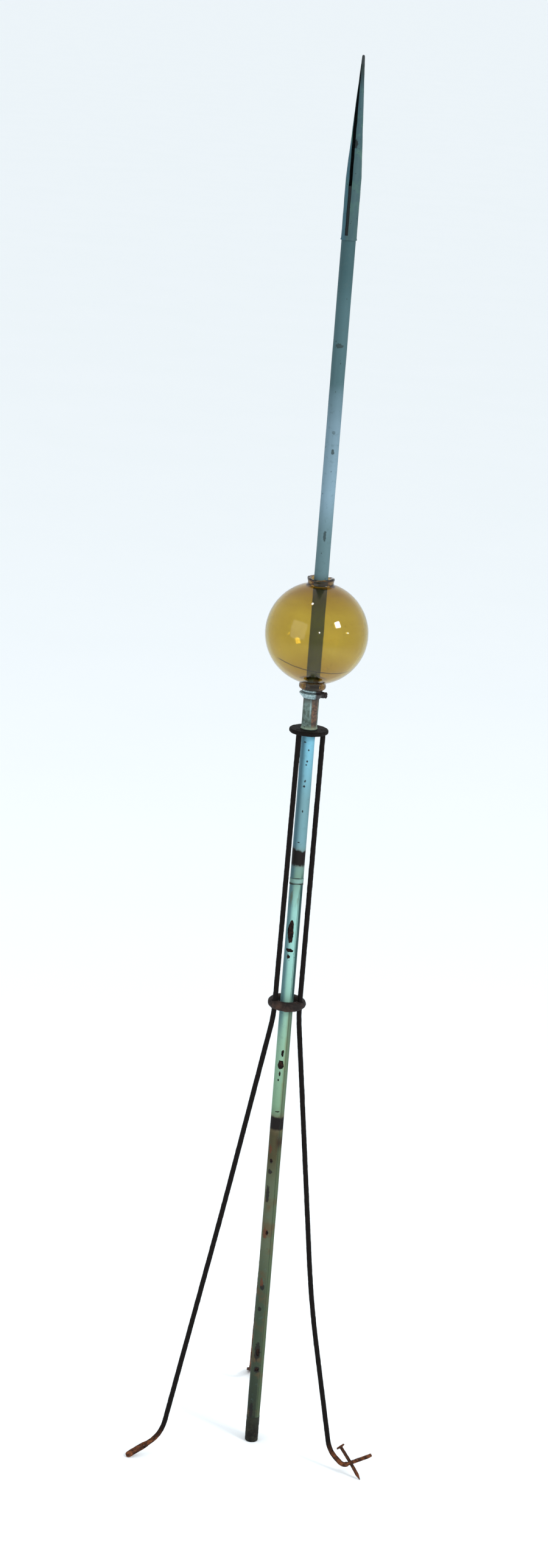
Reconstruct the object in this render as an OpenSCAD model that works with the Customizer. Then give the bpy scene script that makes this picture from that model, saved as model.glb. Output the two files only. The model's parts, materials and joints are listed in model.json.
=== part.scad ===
// Antique lightning rod: a sheathed iron rod with a glass ball, held upright
// by a three-legged iron stand. Millimetres, +Z up, origin at the centre of
// the rod's lower end, on the plane that the stand rests on.

/* [Rod] */
// Height of the point's tip above the rod's lower end
tip_h = 1606; // [1400:1:1800]
// Diameter of the iron core
core_d = 13.6; // [10:0.1:18]
// Sheet thickness of the upper tube
upper_wall = 1; // [0.5:0.1:1.5]
// Sheet thickness of the lower tube
lower_wall = 0.8; // [0.5:0.1:1.5]
// How far the lock seam stands out of the lower tube
seam_rise = 0.3; // [0.2:0.05:0.5]
// Width of the lock seam
seam_w = 3.4; // [2:0.1:5]
// Height of the solder band that joins the two lengths of lower tube
band_h = 7.5; // [4:0.5:15]
// Height of the middle of that band above the rod's lower end
band_z = 694; // [600:1:780]
// Thickness of that band
band_wall = 0.25; // [0.2:0.05:0.35]
// Length of the ferrule at the rod's lower end
ferrule_h = 32; // [15:1:60]
// How far the ferrule stands out of the lower tube
ferrule_swell = 0.1; // [0.1:0.05:0.5]

/* [Point] */
// Length of the tapered part, with its solid tip
point_taper_h = 128; // [90:1:170]
// Length of the straight sleeve that slips over the tube
point_sleeve_h = 66; // [40:1:90]
// Wall of the point
point_wall = 0.5; // [0.4:0.05:1]
// Outside diameter of the tapered part under the solid tip
point_neck_d = 3.9; // [3:0.1:6]
// Length of the solid tip
point_tip_h = 10; // [6:0.5:20]
// Height of the flared lip
point_lip_h = 2.4; // [1.5:0.1:5]
// Width of the open seam, as an angle round the point
slit_angle = 24; // [6:1:40]

/* [Ball] */
// Outside diameter of the glass ball
ball_d = 114.3; // [95:0.1:140]
// Thickness of the glass
glass_wall = 3.4; // [2.5:0.1:5]
// Thickness of the glass round the holes in the necks
neck_wall = 5.2; // [3:0.1:7]
// Height of each glass neck above the ball
neck_h = 8; // [5:0.1:12]
// Clearance of the tube in the necks, on the radius
neck_gap = 2.2; // [1:0.1:3]

/* [Stop collar] */
// Width of the collar's flange, from its bore
flange_w = 6.1; // [5:0.1:9]
// Height of the whole collar
collar_h = 10.3; // [9:0.1:14]
// Wall of the collar's lower end
collar_wall = 1.9; // [1:0.1:3]
// How far the ridge under the ball reaches past the hole in the ball
ridge_reach = 1.7; // [1:0.1:2.5]
// Thread diameter of the thumb screw
screw_d = 4; // [3:0.1:5]
// Diameter of the thumb screw's head
screw_head_d = 7; // [6:0.1:9]
// Thickness of the thumb screw's head
screw_head_t = 3.2; // [2:0.1:6]

/* [Spacer sleeve] */
// Wall of the spacer sleeve
sleeve_wall = 0.6; // [0.5:0.05:1.5]
// Length of the spacer sleeve
sleeve_h = 34.5; // [20:0.5:60]

/* [Stand] */
// Height of the top face of the top plate
plate_z = 871.3; // [700:0.1:1000]
// Iron between the hole for the rod and the holes for the legs
plate_web = 4.6; // [3:0.1:8]
// Iron outside the holes for the legs
plate_edge = 2.3; // [2:0.1:6]
// Thickness of the top plate
plate_t = 4.6; // [3:0.1:8]
// Height of the middle of the lower ring
ring_z = 548; // [400:1:620]
// Iron of the lower ring on either side of the holes for the legs
ring_wall = 2.1; // [1:0.1:3]
// How far the top plate is turned against the lower ring, in degrees
plate_twist = 15; // [0:1:20]

/* [Legs] */
// Diameter of the leg bar
leg_d = 5.8; // [4.6:0.1:7]
// Distance from the rod's axis to the left leg's heel
left_heel_r = 117.5; // [95:0.5:160]
// Distance from the rod's axis to the right leg's heel
right_heel_r = 127.5; // [100:0.5:160]
// Distance from the rod's axis to the back leg's heel
back_heel_r = 146; // [110:0.5:180]
// Length of the left and back feet
foot_len = 47; // [38:0.5:60]
// Length of the right foot
right_foot_len = 44; // [34:0.5:56]
// Thickness of the flattened foot
foot_t = 3.4; // [2:0.1:6]
// Iron on either side of the nail hole
foot_edge = 1.9; // [1.5:0.1:4]
// Slope of the left and back feet, in degrees below level
foot_drop = 26; // [15:1:40]
// Slope of the right foot, in degrees above level
foot_lift = 35; // [15:1:45]
// Height of the right leg's heel above the ground
right_heel_z = 10; // [5:0.5:30]
// Distance from the start of the flattened foot to its nail hole
nail_inset = 4.6; // [4:0.1:10]
// Diameter of the nail's shank
nail_d = 3.8; // [2:0.1:4.6]
// Diameter of the nail's head
nail_head_d = 11; // [8:0.1:14]
// Length of the nail above the foot
nail_above = 20.5; // [10:0.5:24]
// Lean of the nail from upright, in degrees
nail_lean = 43; // [30:1:50]

/* [Clearances] */
// Gap between parts that move past each other
gap = 0.3; // [0.2:0.05:0.4]
// Running fit on the upper tube, on the radius
fit = 0.07; // [0.03:0.01:0.1]
// Clearance of the legs in their holes, on the radius
leg_gap = 0.3; // [0.2:0.05:0.5]
// Clearance of the rod in the top plate, on the radius
rod_gap = 0.7; // [0.5:0.1:0.9]
// Slack of the nail in its hole, on the diameter
nail_gap = 0.5; // [0.3:0.1:1]

/* [Hidden] */
$fn = 64;

// Rod
core_r = core_d / 2;
upper_r = core_r + upper_wall;
lower_r = core_r + lower_wall;
seam_r = lower_r + seam_rise;
ferrule_r = lower_r + ferrule_swell;
widest_r = max(upper_r, seam_r, ferrule_r);
seam_angle = -38;
break_z = plate_z + sleeve_h / 2;
point_sleeve_z = tip_h - point_taper_h - point_sleeve_h;
point_shoulder_z = tip_h - point_taper_h;
tube_top_z = point_shoulder_z - 2 * gap - 8;
core_end_gap = 4;

// Point
point_bore_r = upper_r + fit;
point_r = point_bore_r + point_wall;
tip_z = tip_h - point_tip_h;
neck_in_r = point_neck_d / 2 - point_wall;
slit_turn = -116;
slit_margin = 4;
tip_shank_h = 16;

// Spacer sleeve, collar and ball, stacked on the top plate
sleeve_z = plate_z + gap;
sleeve_bore_r = widest_r + gap;
sleeve_r = sleeve_bore_r + sleeve_wall;
collar_z = sleeve_z + sleeve_h + gap;
collar_bore_r = upper_r + fit;
neck_bore_r = upper_r + neck_gap;
foot_r = collar_bore_r + collar_wall;
flange_r = collar_bore_r + flange_w;
ridge_r = neck_bore_r + ridge_reach;
flange_z = collar_z + collar_h * 0.6;
screw_z = collar_z + collar_h * 0.44;
screw_turn = -12;
boss_r = 3.6;
boss_reach = flange_r + 0.1;
screw_reach = boss_reach + gap + screw_head_t;
ball_r = ball_d / 2;
neck_r = neck_bore_r + neck_wall;
neck_root_z = sqrt(ball_r * ball_r - neck_r * neck_r);
neck_end_z = neck_root_z + neck_h;
ball_z = collar_z + collar_h + gap + neck_end_z;

// Stand
plate_bore_r = widest_r + rod_gap;
leg_r = leg_d / 2;
leg_hole_r = leg_r + leg_gap;
leg_circle_r = plate_bore_r + plate_web + leg_hole_r;
plate_r = leg_circle_r + leg_hole_r + plate_edge;
ring_bar_r = leg_hole_r + ring_wall;
ring_exit = 12;

// Nail hole, wide enough for the nail that leans against the right foot
nail_tilt = nail_lean - foot_lift;
nail_hole_d = nail_d / cos(nail_tilt) + foot_t * abs(tan(nail_tilt)) + nail_gap;
foot_w = nail_hole_d + 2 * foot_edge;

// Each leg: place round the ring, place of its foot, heel, knee, and the shin
// just above the heel, measured in and up from it; a drop is a negative slope
drop_heel_z = foot_len * sin(foot_drop) + foot_t / 2 * cos(foot_drop);
LEFT = 0;
RIGHT = 1;
BACK = 2;
leg_turn = [-150, -30, 90];
foot_turn = [-158.5, -36, 88];
heel_r = [left_heel_r, right_heel_r, back_heel_r];
heel_z = [drop_heel_z, right_heel_z, drop_heel_z];
foot_slope = [-foot_drop, foot_lift, -foot_drop];
foot_reach = [foot_len, right_foot_len, foot_len];
knee_r = [61, 65, 66];
knee_z = [304, 195, 315];
shin_in = [6, 20, 7];
shin_up = [29, 12, 29];
// Lengths of the bends at the ring, knee, shin and heel
bend_reach = [[14, 50, 10, 18], [14, 50, 12, 6], [14, 50, 10, 18]];
leg_sides = 14;
bend_steps = 6;
flat_gap = 0.5;

// Nail, from its tip on the ground up through the right foot to its head
nail_tip_r = 0.4;
nail_point_h = 6;
nail_head_t = 2.4;

function unit(v) = v / norm(v);
function at_turn(r, turn, z) = [r * cos(turn), r * sin(turn), z];
function mix(a, b, t) = a + (b - a) * t;
// Points of a bend that rounds the corner b between a and c
function bend(a, b, c, reach) = [
    for (i = [0:bend_steps])
        let (t = i / bend_steps,
             p = b + reach * unit(a - b),
             q = b + reach * unit(c - b))
        mix(mix(p, b, t), mix(b, q, t), t)];
function foot_dir(k) = [cos(foot_slope[k]) * cos(foot_turn[k]),
                        cos(foot_slope[k]) * sin(foot_turn[k]),
                        sin(foot_slope[k])];
// Where the flattened part of a foot starts, and its nail hole, from the heel
function flat_start(k) = bend_reach[k][3] + flat_gap;
function nail_x(k) = flat_start(k) + nail_inset;
// The corners of a leg's centre line, from the top plate down to its foot
function leg_corners(k) = let (heel = at_turn(heel_r[k], foot_turn[k], heel_z[k])) [
    at_turn(leg_circle_r, leg_turn[k] + plate_twist, plate_z),
    at_turn(leg_circle_r, leg_turn[k], ring_z - ring_exit),
    at_turn(knee_r[k], mix(leg_turn[k], foot_turn[k], 0.7), knee_z[k]),
    at_turn(heel_r[k] - shin_in[k], foot_turn[k], heel_z[k] + shin_up[k]),
    heel,
    heel + foot_dir(k) * flat_start(k)];
function leg_path(k) = let (c = leg_corners(k)) concat(
    [c[0]],
    [for (i = [1:4]) each bend(c[i - 1], c[i], c[i + 1], bend_reach[k][i - 1])],
    [c[5]]);

// A round bar along a list of points, as one closed skin
module bar(path, r) {
    last = len(path) - 1;
    function heading(i) = unit(path[min(i + 1, last)] - path[max(i - 1, 0)]);
    function side(i) = unit(cross(heading(i), cross([0, 0, 1], heading(i)) == [0, 0, 0]
                                  ? [1, 0, 0] : cross([0, 0, 1], heading(i))));
    function ring_of(i) = let (u = side(i), v = cross(heading(i), u))
        [for (s = [0:leg_sides - 1])
            let (a = 360 * s / leg_sides) path[i] + r * (u * cos(a) + v * sin(a))];
    points = [for (i = [0:last]) each ring_of(i)];
    walls = [for (i = [0:last - 1], s = [0:leg_sides - 1])
        let (n = (s + 1) % leg_sides, a = i * leg_sides, b = a + leg_sides)
        [a + s, a + n, b + n, b + s]];
    start = [for (s = [leg_sides - 1:-1:0]) s];
    end = [for (s = [0:leg_sides - 1]) last * leg_sides + s];
    polyhedron(points, concat([start], walls, [end]), convexity = 6);
}

module tube(z0, z1, r_out, r_in) {
    translate([0, 0, z0]) difference() {
        cylinder(h = z1 - z0, r = r_out);
        translate([0, 0, -1]) cylinder(h = z1 - z0 + 2, r = r_in);
    }
}

// Moves its children onto foot k: X along the foot from its heel, Z up
module on_foot(k) {
    translate(at_turn(heel_r[k], foot_turn[k], heel_z[k]))
        rotate([0, 0, foot_turn[k]]) rotate([0, -foot_slope[k], 0]) children();
}

module point_shell() {
    color("cadetblue") difference() {
        rotate_extrude() polygon([
            [point_bore_r, point_sleeve_z],
            [point_r + 0.5, point_sleeve_z],
            [point_r, point_sleeve_z + point_lip_h],
            [point_r, point_shoulder_z],
            [point_neck_d / 2, tip_z],
            [neck_in_r, tip_z],
            [point_bore_r, point_shoulder_z]]);
        translate([0, 0, point_sleeve_z + point_lip_h + slit_margin]) rotate([0, 0, slit_turn])
            linear_extrude(tip_z - point_sleeve_z - point_lip_h - 3 * slit_margin) polygon([
                [0, 0],
                [2 * point_r, -2 * point_r * tan(slit_angle / 2)],
                [2 * point_r, 2 * point_r * tan(slit_angle / 2)]]);
    }
}

module point_tip() {
    shank_r = neck_in_r - fit;
    nose_r = 1.45;
    color("dimgray") rotate_extrude() polygon([
        [0, tip_z - tip_shank_h],
        [shank_r, tip_z - tip_shank_h],
        [shank_r, tip_z],
        [point_neck_d / 2, tip_z],
        [nose_r, tip_h - 1],
        [nose_r / 2, tip_h],
        [0, tip_h]]);
}

module upper_tube() {
    color("slategray") tube(break_z, tube_top_z, upper_r, core_r);
}

module core_rod() {
    color("saddlebrown") translate([0, 0, core_end_gap])
        cylinder(h = tube_top_z - core_end_gap - 2, r = core_r);
}

module glass_ball() {
    color("goldenrod", 0.6) translate([0, 0, ball_z]) difference() {
        union() {
            sphere(r = ball_r, $fn = 96);
            for (up = [-1, 1])
                translate([0, 0, up > 0 ? 0 : -neck_end_z])
                    cylinder(h = neck_end_z, r = neck_r);
        }
        sphere(r = ball_r - glass_wall, $fn = 96);
        cylinder(h = 3 * ball_r, r = neck_bore_r, center = true);
    }
}

module stop_collar() {
    color("lightsteelblue") difference() {
        union() {
            translate([0, 0, collar_z]) rotate_extrude() polygon([
                [upper_r - 2, 0],
                [foot_r, 0],
                [flange_r, flange_z - collar_z - 1.2],
                [flange_r, flange_z - collar_z + 0.4],
                [ridge_r - 1, flange_z - collar_z + 1.4],
                [ridge_r, flange_z - collar_z + 2.4],
                [ridge_r - 0.4, collar_h],
                [upper_r - 2, collar_h]]);
            rotate([0, 0, screw_turn]) translate([0, 0, screw_z]) rotate([0, 90, 0])
                cylinder(h = boss_reach, r = boss_r);
        }
        translate([0, 0, collar_z - 2]) cylinder(h = collar_h + 4, r = collar_bore_r);
        rotate([0, 0, screw_turn]) translate([0, 0, screw_z]) rotate([0, 90, 0])
            cylinder(h = 2 * flange_r, r = screw_d / 2 + fit);
    }
}

module thumb_screw() {
    screw_start = upper_r + gap;
    color("darkslategray") rotate([0, 0, screw_turn]) translate([0, 0, screw_z]) rotate([0, 90, 0])
        union() {
            translate([0, 0, screw_start])
                cylinder(h = screw_reach - screw_start - 1, r = screw_d / 2);
            translate([0, 0, screw_reach - screw_head_t])
                cylinder(h = screw_head_t, r = screw_head_d / 2);
        }
}

module spacer_sleeve() {
    foot_h = 1.6;
    color("darkseagreen") difference() {
        union() {
            translate([0, 0, sleeve_z]) cylinder(h = sleeve_h, r = sleeve_r);
            translate([0, 0, sleeve_z]) cylinder(h = foot_h, r1 = sleeve_r + 0.7, r2 = sleeve_r);
        }
        translate([0, 0, sleeve_z - 1]) cylinder(h = sleeve_h + 2, r = sleeve_bore_r);
    }
}

// Flat outline of the lock seam, wider by a margin on each side
module seam_outline(margin = 0) {
    rotate([0, 0, seam_angle]) translate([(core_r + lower_r) / 2, -seam_w / 2 - margin])
        square([seam_w, seam_w + 2 * margin]);
}

module lower_tube() {
    color("powderblue") translate([0, 0, ferrule_h])
        linear_extrude(break_z - ferrule_h) difference() {
            union() {
                circle(r = lower_r);
                intersection() {
                    circle(r = seam_r);
                    seam_outline();
                }
            }
            circle(r = core_r);
        }
}

// The band stops short of the seam on either side
module splice_band() {
    color("dimgray") translate([0, 0, band_z - band_h / 2]) linear_extrude(band_h)
        difference() {
            circle(r = lower_r + band_wall);
            circle(r = lower_r);
            seam_outline(gap);
        }
}

module end_ferrule() {
    floor_t = core_end_gap;
    color("saddlebrown") difference() {
        cylinder(h = ferrule_h, r = ferrule_r);
        translate([0, 0, floor_t]) cylinder(h = ferrule_h, r = core_r);
    }
}

module leg_holes(z, twist) {
    for (k = [LEFT, RIGHT, BACK])
        translate(at_turn(leg_circle_r, leg_turn[k] + twist, z)) children();
}

module top_plate() {
    rim = 1.1;
    color("black") difference() {
        translate([0, 0, plate_z - plate_t]) rotate_extrude() polygon([
            [plate_bore_r, 0],
            [plate_r - rim, 0],
            [plate_r, rim],
            [plate_r, plate_t - rim],
            [plate_r - rim, plate_t],
            [plate_bore_r, plate_t]]);
        leg_holes(plate_z - plate_t - 1, plate_twist) cylinder(h = plate_t + 2, r = leg_hole_r);
    }
}

module mid_ring() {
    color("saddlebrown") difference() {
        translate([0, 0, ring_z]) rotate_extrude() translate([leg_circle_r, 0]) circle(r = ring_bar_r);
        leg_holes(ring_z - 2 * ring_bar_r, 0) cylinder(h = 4 * ring_bar_r, r = leg_hole_r);
    }
}

module leg(k) {
    color("black") bar(leg_path(k), leg_r);
}

module foot(k) {
    half_w = foot_w / 2;
    heel_w = leg_r + 0.3;
    start = flat_start(k);
    color("sienna") difference() {
        on_foot(k) translate([0, 0, -foot_t / 2]) linear_extrude(foot_t) polygon(concat(
            [[start, heel_w], [start, -heel_w], [start + nail_inset, -half_w]],
            [for (a = [-90:15:90]) [foot_reach[k] - half_w + half_w * cos(a), half_w * sin(a)]],
            [[start + nail_inset, half_w]]));
        on_foot(k) translate([nail_x(k), 0, -foot_t])
            cylinder(h = 2 * foot_t, r = nail_hole_d / 2);
    }
}

// The nail leans in its hole, and its tip rests on the ground
module foot_nail() {
    hole = at_turn(heel_r[RIGHT], foot_turn[RIGHT], heel_z[RIGHT]) + foot_dir(RIGHT) * nail_x(RIGHT);
    reach = (hole[2] - nail_tip_r * sin(nail_lean)) / cos(nail_lean);
    color("sienna") translate(hole) rotate([0, 0, foot_turn[RIGHT]]) rotate([0, -nail_lean, 0])
        rotate_extrude() polygon([
            [0, -reach],
            [nail_tip_r, -reach],
            [nail_d / 2, nail_point_h - reach],
            [nail_d / 2, nail_above],
            [nail_head_d / 2, nail_above + 0.6],
            [nail_head_d / 2 - 0.6, nail_above + nail_head_t],
            [0, nail_above + nail_head_t]]);
}

point_shell();
point_tip();
upper_tube();
core_rod();
glass_ball();
stop_collar();
thumb_screw();
spacer_sleeve();
lower_tube();
splice_band();
end_ferrule();
top_plate();
mid_ring();
leg(LEFT);  // leg_left
leg(RIGHT);  // leg_right
leg(BACK);  // leg_back
foot(LEFT);  // foot_left
foot(RIGHT);  // foot_right
foot(BACK);  // foot_back
foot_nail();
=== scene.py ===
"""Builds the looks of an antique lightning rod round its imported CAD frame."""

import json
import math

import bpy
from mathutils import Matrix, Vector, noise

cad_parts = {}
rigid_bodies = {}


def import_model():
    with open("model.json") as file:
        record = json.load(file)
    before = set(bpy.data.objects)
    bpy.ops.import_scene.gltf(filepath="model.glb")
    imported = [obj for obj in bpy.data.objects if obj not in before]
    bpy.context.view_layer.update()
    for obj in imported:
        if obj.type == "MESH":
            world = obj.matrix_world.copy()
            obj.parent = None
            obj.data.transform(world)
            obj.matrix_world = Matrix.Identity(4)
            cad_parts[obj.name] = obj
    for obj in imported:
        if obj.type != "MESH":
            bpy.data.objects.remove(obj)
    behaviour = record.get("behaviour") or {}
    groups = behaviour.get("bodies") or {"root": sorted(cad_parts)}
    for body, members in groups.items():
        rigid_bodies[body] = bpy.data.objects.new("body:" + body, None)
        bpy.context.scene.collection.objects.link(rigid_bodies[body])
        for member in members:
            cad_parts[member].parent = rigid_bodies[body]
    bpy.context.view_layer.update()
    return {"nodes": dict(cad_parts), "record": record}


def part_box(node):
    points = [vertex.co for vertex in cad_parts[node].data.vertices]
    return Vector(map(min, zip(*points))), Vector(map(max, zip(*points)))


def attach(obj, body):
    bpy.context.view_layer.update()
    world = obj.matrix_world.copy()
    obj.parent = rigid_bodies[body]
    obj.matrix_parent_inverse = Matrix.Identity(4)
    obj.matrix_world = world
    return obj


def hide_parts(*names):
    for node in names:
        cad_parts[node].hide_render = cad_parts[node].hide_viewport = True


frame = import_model()

bl_info = {
    "name": "Lightning Rod",
    "version": (1, 0, 0),
    "blender": (4, 5, 0),
    "location": "View3D > Sidebar > Lightning Rod",
    "description": "Models a weathered lightning rod with a glass ball on its iron stand",
    "category": "Add Mesh",
}

MM = 0.001
TUBE_LOW, TUBE_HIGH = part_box("lower_tube")
UPPER_LOW, UPPER_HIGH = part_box("upper_tube")
CORE_LOW, CORE_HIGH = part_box("core_rod")
SHELL_LOW, SHELL_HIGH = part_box("point_shell")
TIP_LOW, TIP_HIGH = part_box("point_tip")
BALL_LOW, BALL_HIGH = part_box("glass_ball")
COLLAR_LOW, COLLAR_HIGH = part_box("stop_collar")
SCREW_LOW, SCREW_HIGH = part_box("thumb_screw")
SLEEVE_LOW, SLEEVE_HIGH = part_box("spacer_sleeve")
BAND_LOW, BAND_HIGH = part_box("splice_band")
_, FERRULE_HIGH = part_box("end_ferrule")
NAIL_LOW, NAIL_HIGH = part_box("foot_nail")

BALL_R = BALL_HIGH.x
BALL_Z = (BALL_LOW.z + BALL_HIGH.z) / 2
NECK_END = BALL_HIGH.z - BALL_Z
TUBE_R = TUBE_HIGH.y
UPPER_R = UPPER_HIGH.x
CORE_R = CORE_HIGH.x
FRONT = math.radians(-94)  # the side of the rod that the best-kept sheet faces
SEAM_X = 3.4 * MM  # where the lock seam of the lower tube starts
SLIP = 0.07 * MM  # clearance round whatever slides or turns
BAND_SAG = 0.9 * MM  # how far the splice hangs off level
SCREW_R, SCREW_HEAD_R = 2 * MM, 3.5 * MM
NAIL_TURN = math.radians(-36)  # the way the right foot points
HEEL_R, FOOT_R = 118 * MM, 134 * MM  # between them, out from the rod, a leg turns to rust
GLASS_DENSITY = 200  # absorption of the amber glass, per metre
GLASS_IOR = 1.42
STAGE_GAIN = 1.5  # how far the stage's light lifts a surface above its own colour


# ------------ settings


def length(name, text, default):
    return bpy.props.FloatProperty(name=name, description=text, default=default, min=0,
                                   subtype="DISTANCE", unit="LENGTH", precision=4)


def colour(name, text, r, g, b):
    """A colour setting, from its three display values of 0 to 255."""
    return bpy.props.FloatVectorProperty(name=name, description=text, size=3, subtype="COLOR",
                                         min=0, max=1, default=linear(r, g, b))


def linear(r, g, b):
    """Display values of 0 to 255 as the linear light that a shader takes."""
    return tuple((c / 255 / 12.92) if c <= 10 else ((c / 255 + 0.055) / 1.055) ** 2.4
                 for c in (r, g, b))


def lit(r, g, b):
    """The colour of a surface that the stage's light brings to these display values."""
    return tuple(c / STAGE_GAIN for c in linear(r, g, b))


class ROD_PG_metal(bpy.types.PropertyGroup):
    lip_flare: length("Lip flare", "How far the point's lip stands out", 0.5 * MM)
    seam_gap: length("Open seam", "Width of the point's open seam", 3.4 * MM)
    seam_rise: length("Lock seam", "How far the lower tube's seam stands out", 0.3 * MM)
    copper: colour("Point", "Sheet copper of the point", 60, 84, 84)
    verdigris: colour("Verdigris", "Green patches on the point", 64, 98, 84)
    blue_sheet: colour("Upper tube", "Blue-grey streaks on the upper tube", 84, 110, 119)
    pale_sheet: colour("Lower tube", "Pale blue galvanised sheet below the plate", 110, 170, 192)
    mint_sheet: colour("Lower tube, mint", "Pale green sheet below the splice", 132, 178, 170)
    olive_sheet: colour("Lower tube, foot", "Grey-olive sheet near the ground", 78, 86, 67)


class ROD_PG_glass(bpy.types.PropertyGroup):
    wall: length("Glass wall", "Thickness of the ball's glass", 3.4 * MM)
    neck_bore: length("Neck bore", "Radius of the hole through the necks", 10 * MM)
    amber: colour("Amber", "Tint of the glass", 240, 226, 140)
    depth: colour("Amber depth", "What the glass lets through where it is thick", 220, 207, 137)
    tide: colour("Tide mark", "Dirt inside the ball", 66, 44, 18)


class ROD_PG_iron(bpy.types.PropertyGroup):
    grain: length("Grain", "Voxel size of the forged iron", 0.62 * MM)
    black: colour("Black iron", "Oxide on the legs and plate", 16, 12, 11)
    rust: colour("Rust", "Rust on the nail, before it is dulled", 112, 62, 36)


class ROD_PG_stage(bpy.types.PropertyGroup):
    key_power: bpy.props.FloatProperty(name="Key light", description="Power of the key light",
                                       default=50, min=0, unit="POWER")
    fill_power: bpy.props.FloatProperty(name="Fill light", description="Power of the fill light",
                                        default=20, min=0, unit="POWER")
    glint_power: bpy.props.FloatProperty(name="Glints", description="Power of each glint lamp",
                                         default=3, min=0, unit="POWER")
    sky: colour("Sky", "Light from all round", 248, 252, 255)
    floor: colour("Floor", "Pale floor", 244, 248, 250)


SETTINGS = {"rod_metal": ROD_PG_metal, "rod_glass": ROD_PG_glass,
            "rod_iron": ROD_PG_iron, "rod_stage": ROD_PG_stage}


# ------------ modelling


def clear_selection():
    if bpy.context.object and bpy.context.object.mode != "OBJECT":
        bpy.ops.object.mode_set(mode="OBJECT")
    bpy.ops.object.select_all(action="DESELECT")


def pick(*pieces):
    """Selects only these, and makes the first one active."""
    clear_selection()
    for piece in pieces:
        piece.select_set(True)
    bpy.context.view_layer.objects.active = pieces[0]


def arc(cx, cz, r, start, end, count):
    """Points of (radius, height) along an arc, its angles in degrees from level."""
    for i in range(count + 1):
        a = math.radians(start + (end - start) * i / count)
        yield cx + r * math.cos(a), cz + r * math.sin(a)


def run(p, q, count):
    """Evenly spaced points from p to q, without q itself."""
    for i in range(count):
        t = i / count
        yield p[0] + (q[0] - p[0]) * t, p[1] + (q[1] - p[1]) * t


def turned(name, outline, steps=72):
    """Draws an outline of (radius, height) points and spins it round the rod's axis."""
    clear_selection()
    bpy.ops.mesh.primitive_plane_add(size=MM, location=(0, 0, 0))
    piece = bpy.context.object
    piece.name = piece.data.name = name
    bpy.ops.object.mode_set(mode="EDIT")
    bpy.ops.mesh.merge(type="CENTER")
    bpy.ops.transform.translate(value=(outline[0][0], 0, outline[0][1]))
    for (r0, z0), (r1, z1) in zip(outline, outline[1:]):
        bpy.ops.mesh.extrude_vertices_move(
            TRANSFORM_OT_translate={"value": (r1 - r0, 0, z1 - z0)})
    bpy.ops.mesh.select_all(action="SELECT")
    bpy.ops.mesh.spin(steps=steps, angle=2 * math.pi, center=(0, 0, 0), axis=(0, 0, 1))
    tidy_mesh()
    return piece


def tidy_mesh():
    """Merges, cleans and turns outward the faces of the active piece."""
    bpy.ops.object.mode_set(mode="EDIT")
    bpy.ops.mesh.select_all(action="SELECT")
    bpy.ops.mesh.remove_doubles(threshold=0.03 * MM)
    bpy.ops.mesh.dissolve_degenerate(threshold=0.01 * MM)
    bpy.ops.mesh.normals_make_consistent(inside=False)
    bpy.ops.object.mode_set(mode="OBJECT")


def reshape(piece, move):
    """Moves each vertex of a piece to where move says."""
    for vertex in piece.data.vertices:
        vertex.co = move(vertex.co.copy())


def wobble(co, depth, size, seed=0, beyond=MM):
    """co pushed in or out by smooth noise, if it lies beyond this far from the rod's axis."""
    r = math.hypot(co.x, co.y)
    if r < beyond:
        return co
    push = depth * noise.noise(co / size + Vector((seed, seed, seed)))
    return Vector((co.x * (1 + push / r), co.y * (1 + push / r), co.z))


def modified(piece, kind, **values):
    """Adds a modifier with these values and applies it."""
    pick(piece)
    modifier = piece.modifiers.new(kind.title(), kind)
    for key, value in values.items():
        setattr(modifier, key, value)
    bpy.ops.object.modifier_apply(modifier=modifier.name)


def cut(piece, tool, operation="DIFFERENCE"):
    modified(piece, "BOOLEAN", object=tool, operation=operation, solver="EXACT")
    bpy.data.objects.remove(tool)
    tidy_mesh()


def rework(piece, grain, depth, size, rounding=6):
    """Rounds a plain solid's edges and gives it a hammered surface."""
    pick(piece)
    piece.data.remesh_voxel_size = grain
    bpy.ops.object.voxel_remesh()
    modified(piece, "SMOOTH", factor=0.5, iterations=rounding)
    clouds = bpy.data.textures.new(piece.name + "_clouds", "CLOUDS")
    clouds.noise_scale = size
    clouds.noise_depth = 2
    modified(piece, "DISPLACE", texture=clouds, strength=depth, mid_level=0.35,
             texture_coords="LOCAL")


def copied(name, *nodes):
    """A merged copy of one or more CAD nodes, free of their bodies."""
    pick(*[frame["nodes"][node] for node in nodes])
    bpy.ops.object.duplicate()
    bpy.ops.object.parent_clear(type="CLEAR_KEEP_TRANSFORM")
    if len(nodes) > 1:
        bpy.ops.object.join()
    piece = bpy.context.object
    piece.name = piece.data.name = name
    bpy.ops.object.mode_set(mode="EDIT")
    bpy.ops.mesh.select_all(action="SELECT")
    bpy.ops.mesh.remove_doubles(threshold=0.005 * MM)
    bpy.ops.object.mode_set(mode="OBJECT")
    return piece


def settle(piece, body, slot, finish, *nodes, angle=35):
    """Fixes a finished piece in place: its body, finish and the nodes it stands for; slot is not
    used.
    """
    pick(piece)
    bpy.ops.object.transform_apply(location=True, rotation=True, scale=True)
    bpy.ops.object.shade_smooth_by_angle(angle=math.radians(angle))
    piece.data.materials.clear()
    piece.data.materials.append(finish)
    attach(piece, body)
    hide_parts(*nodes)
    return piece


# ------------ shading; plain heights are in metres from the floor


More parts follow.
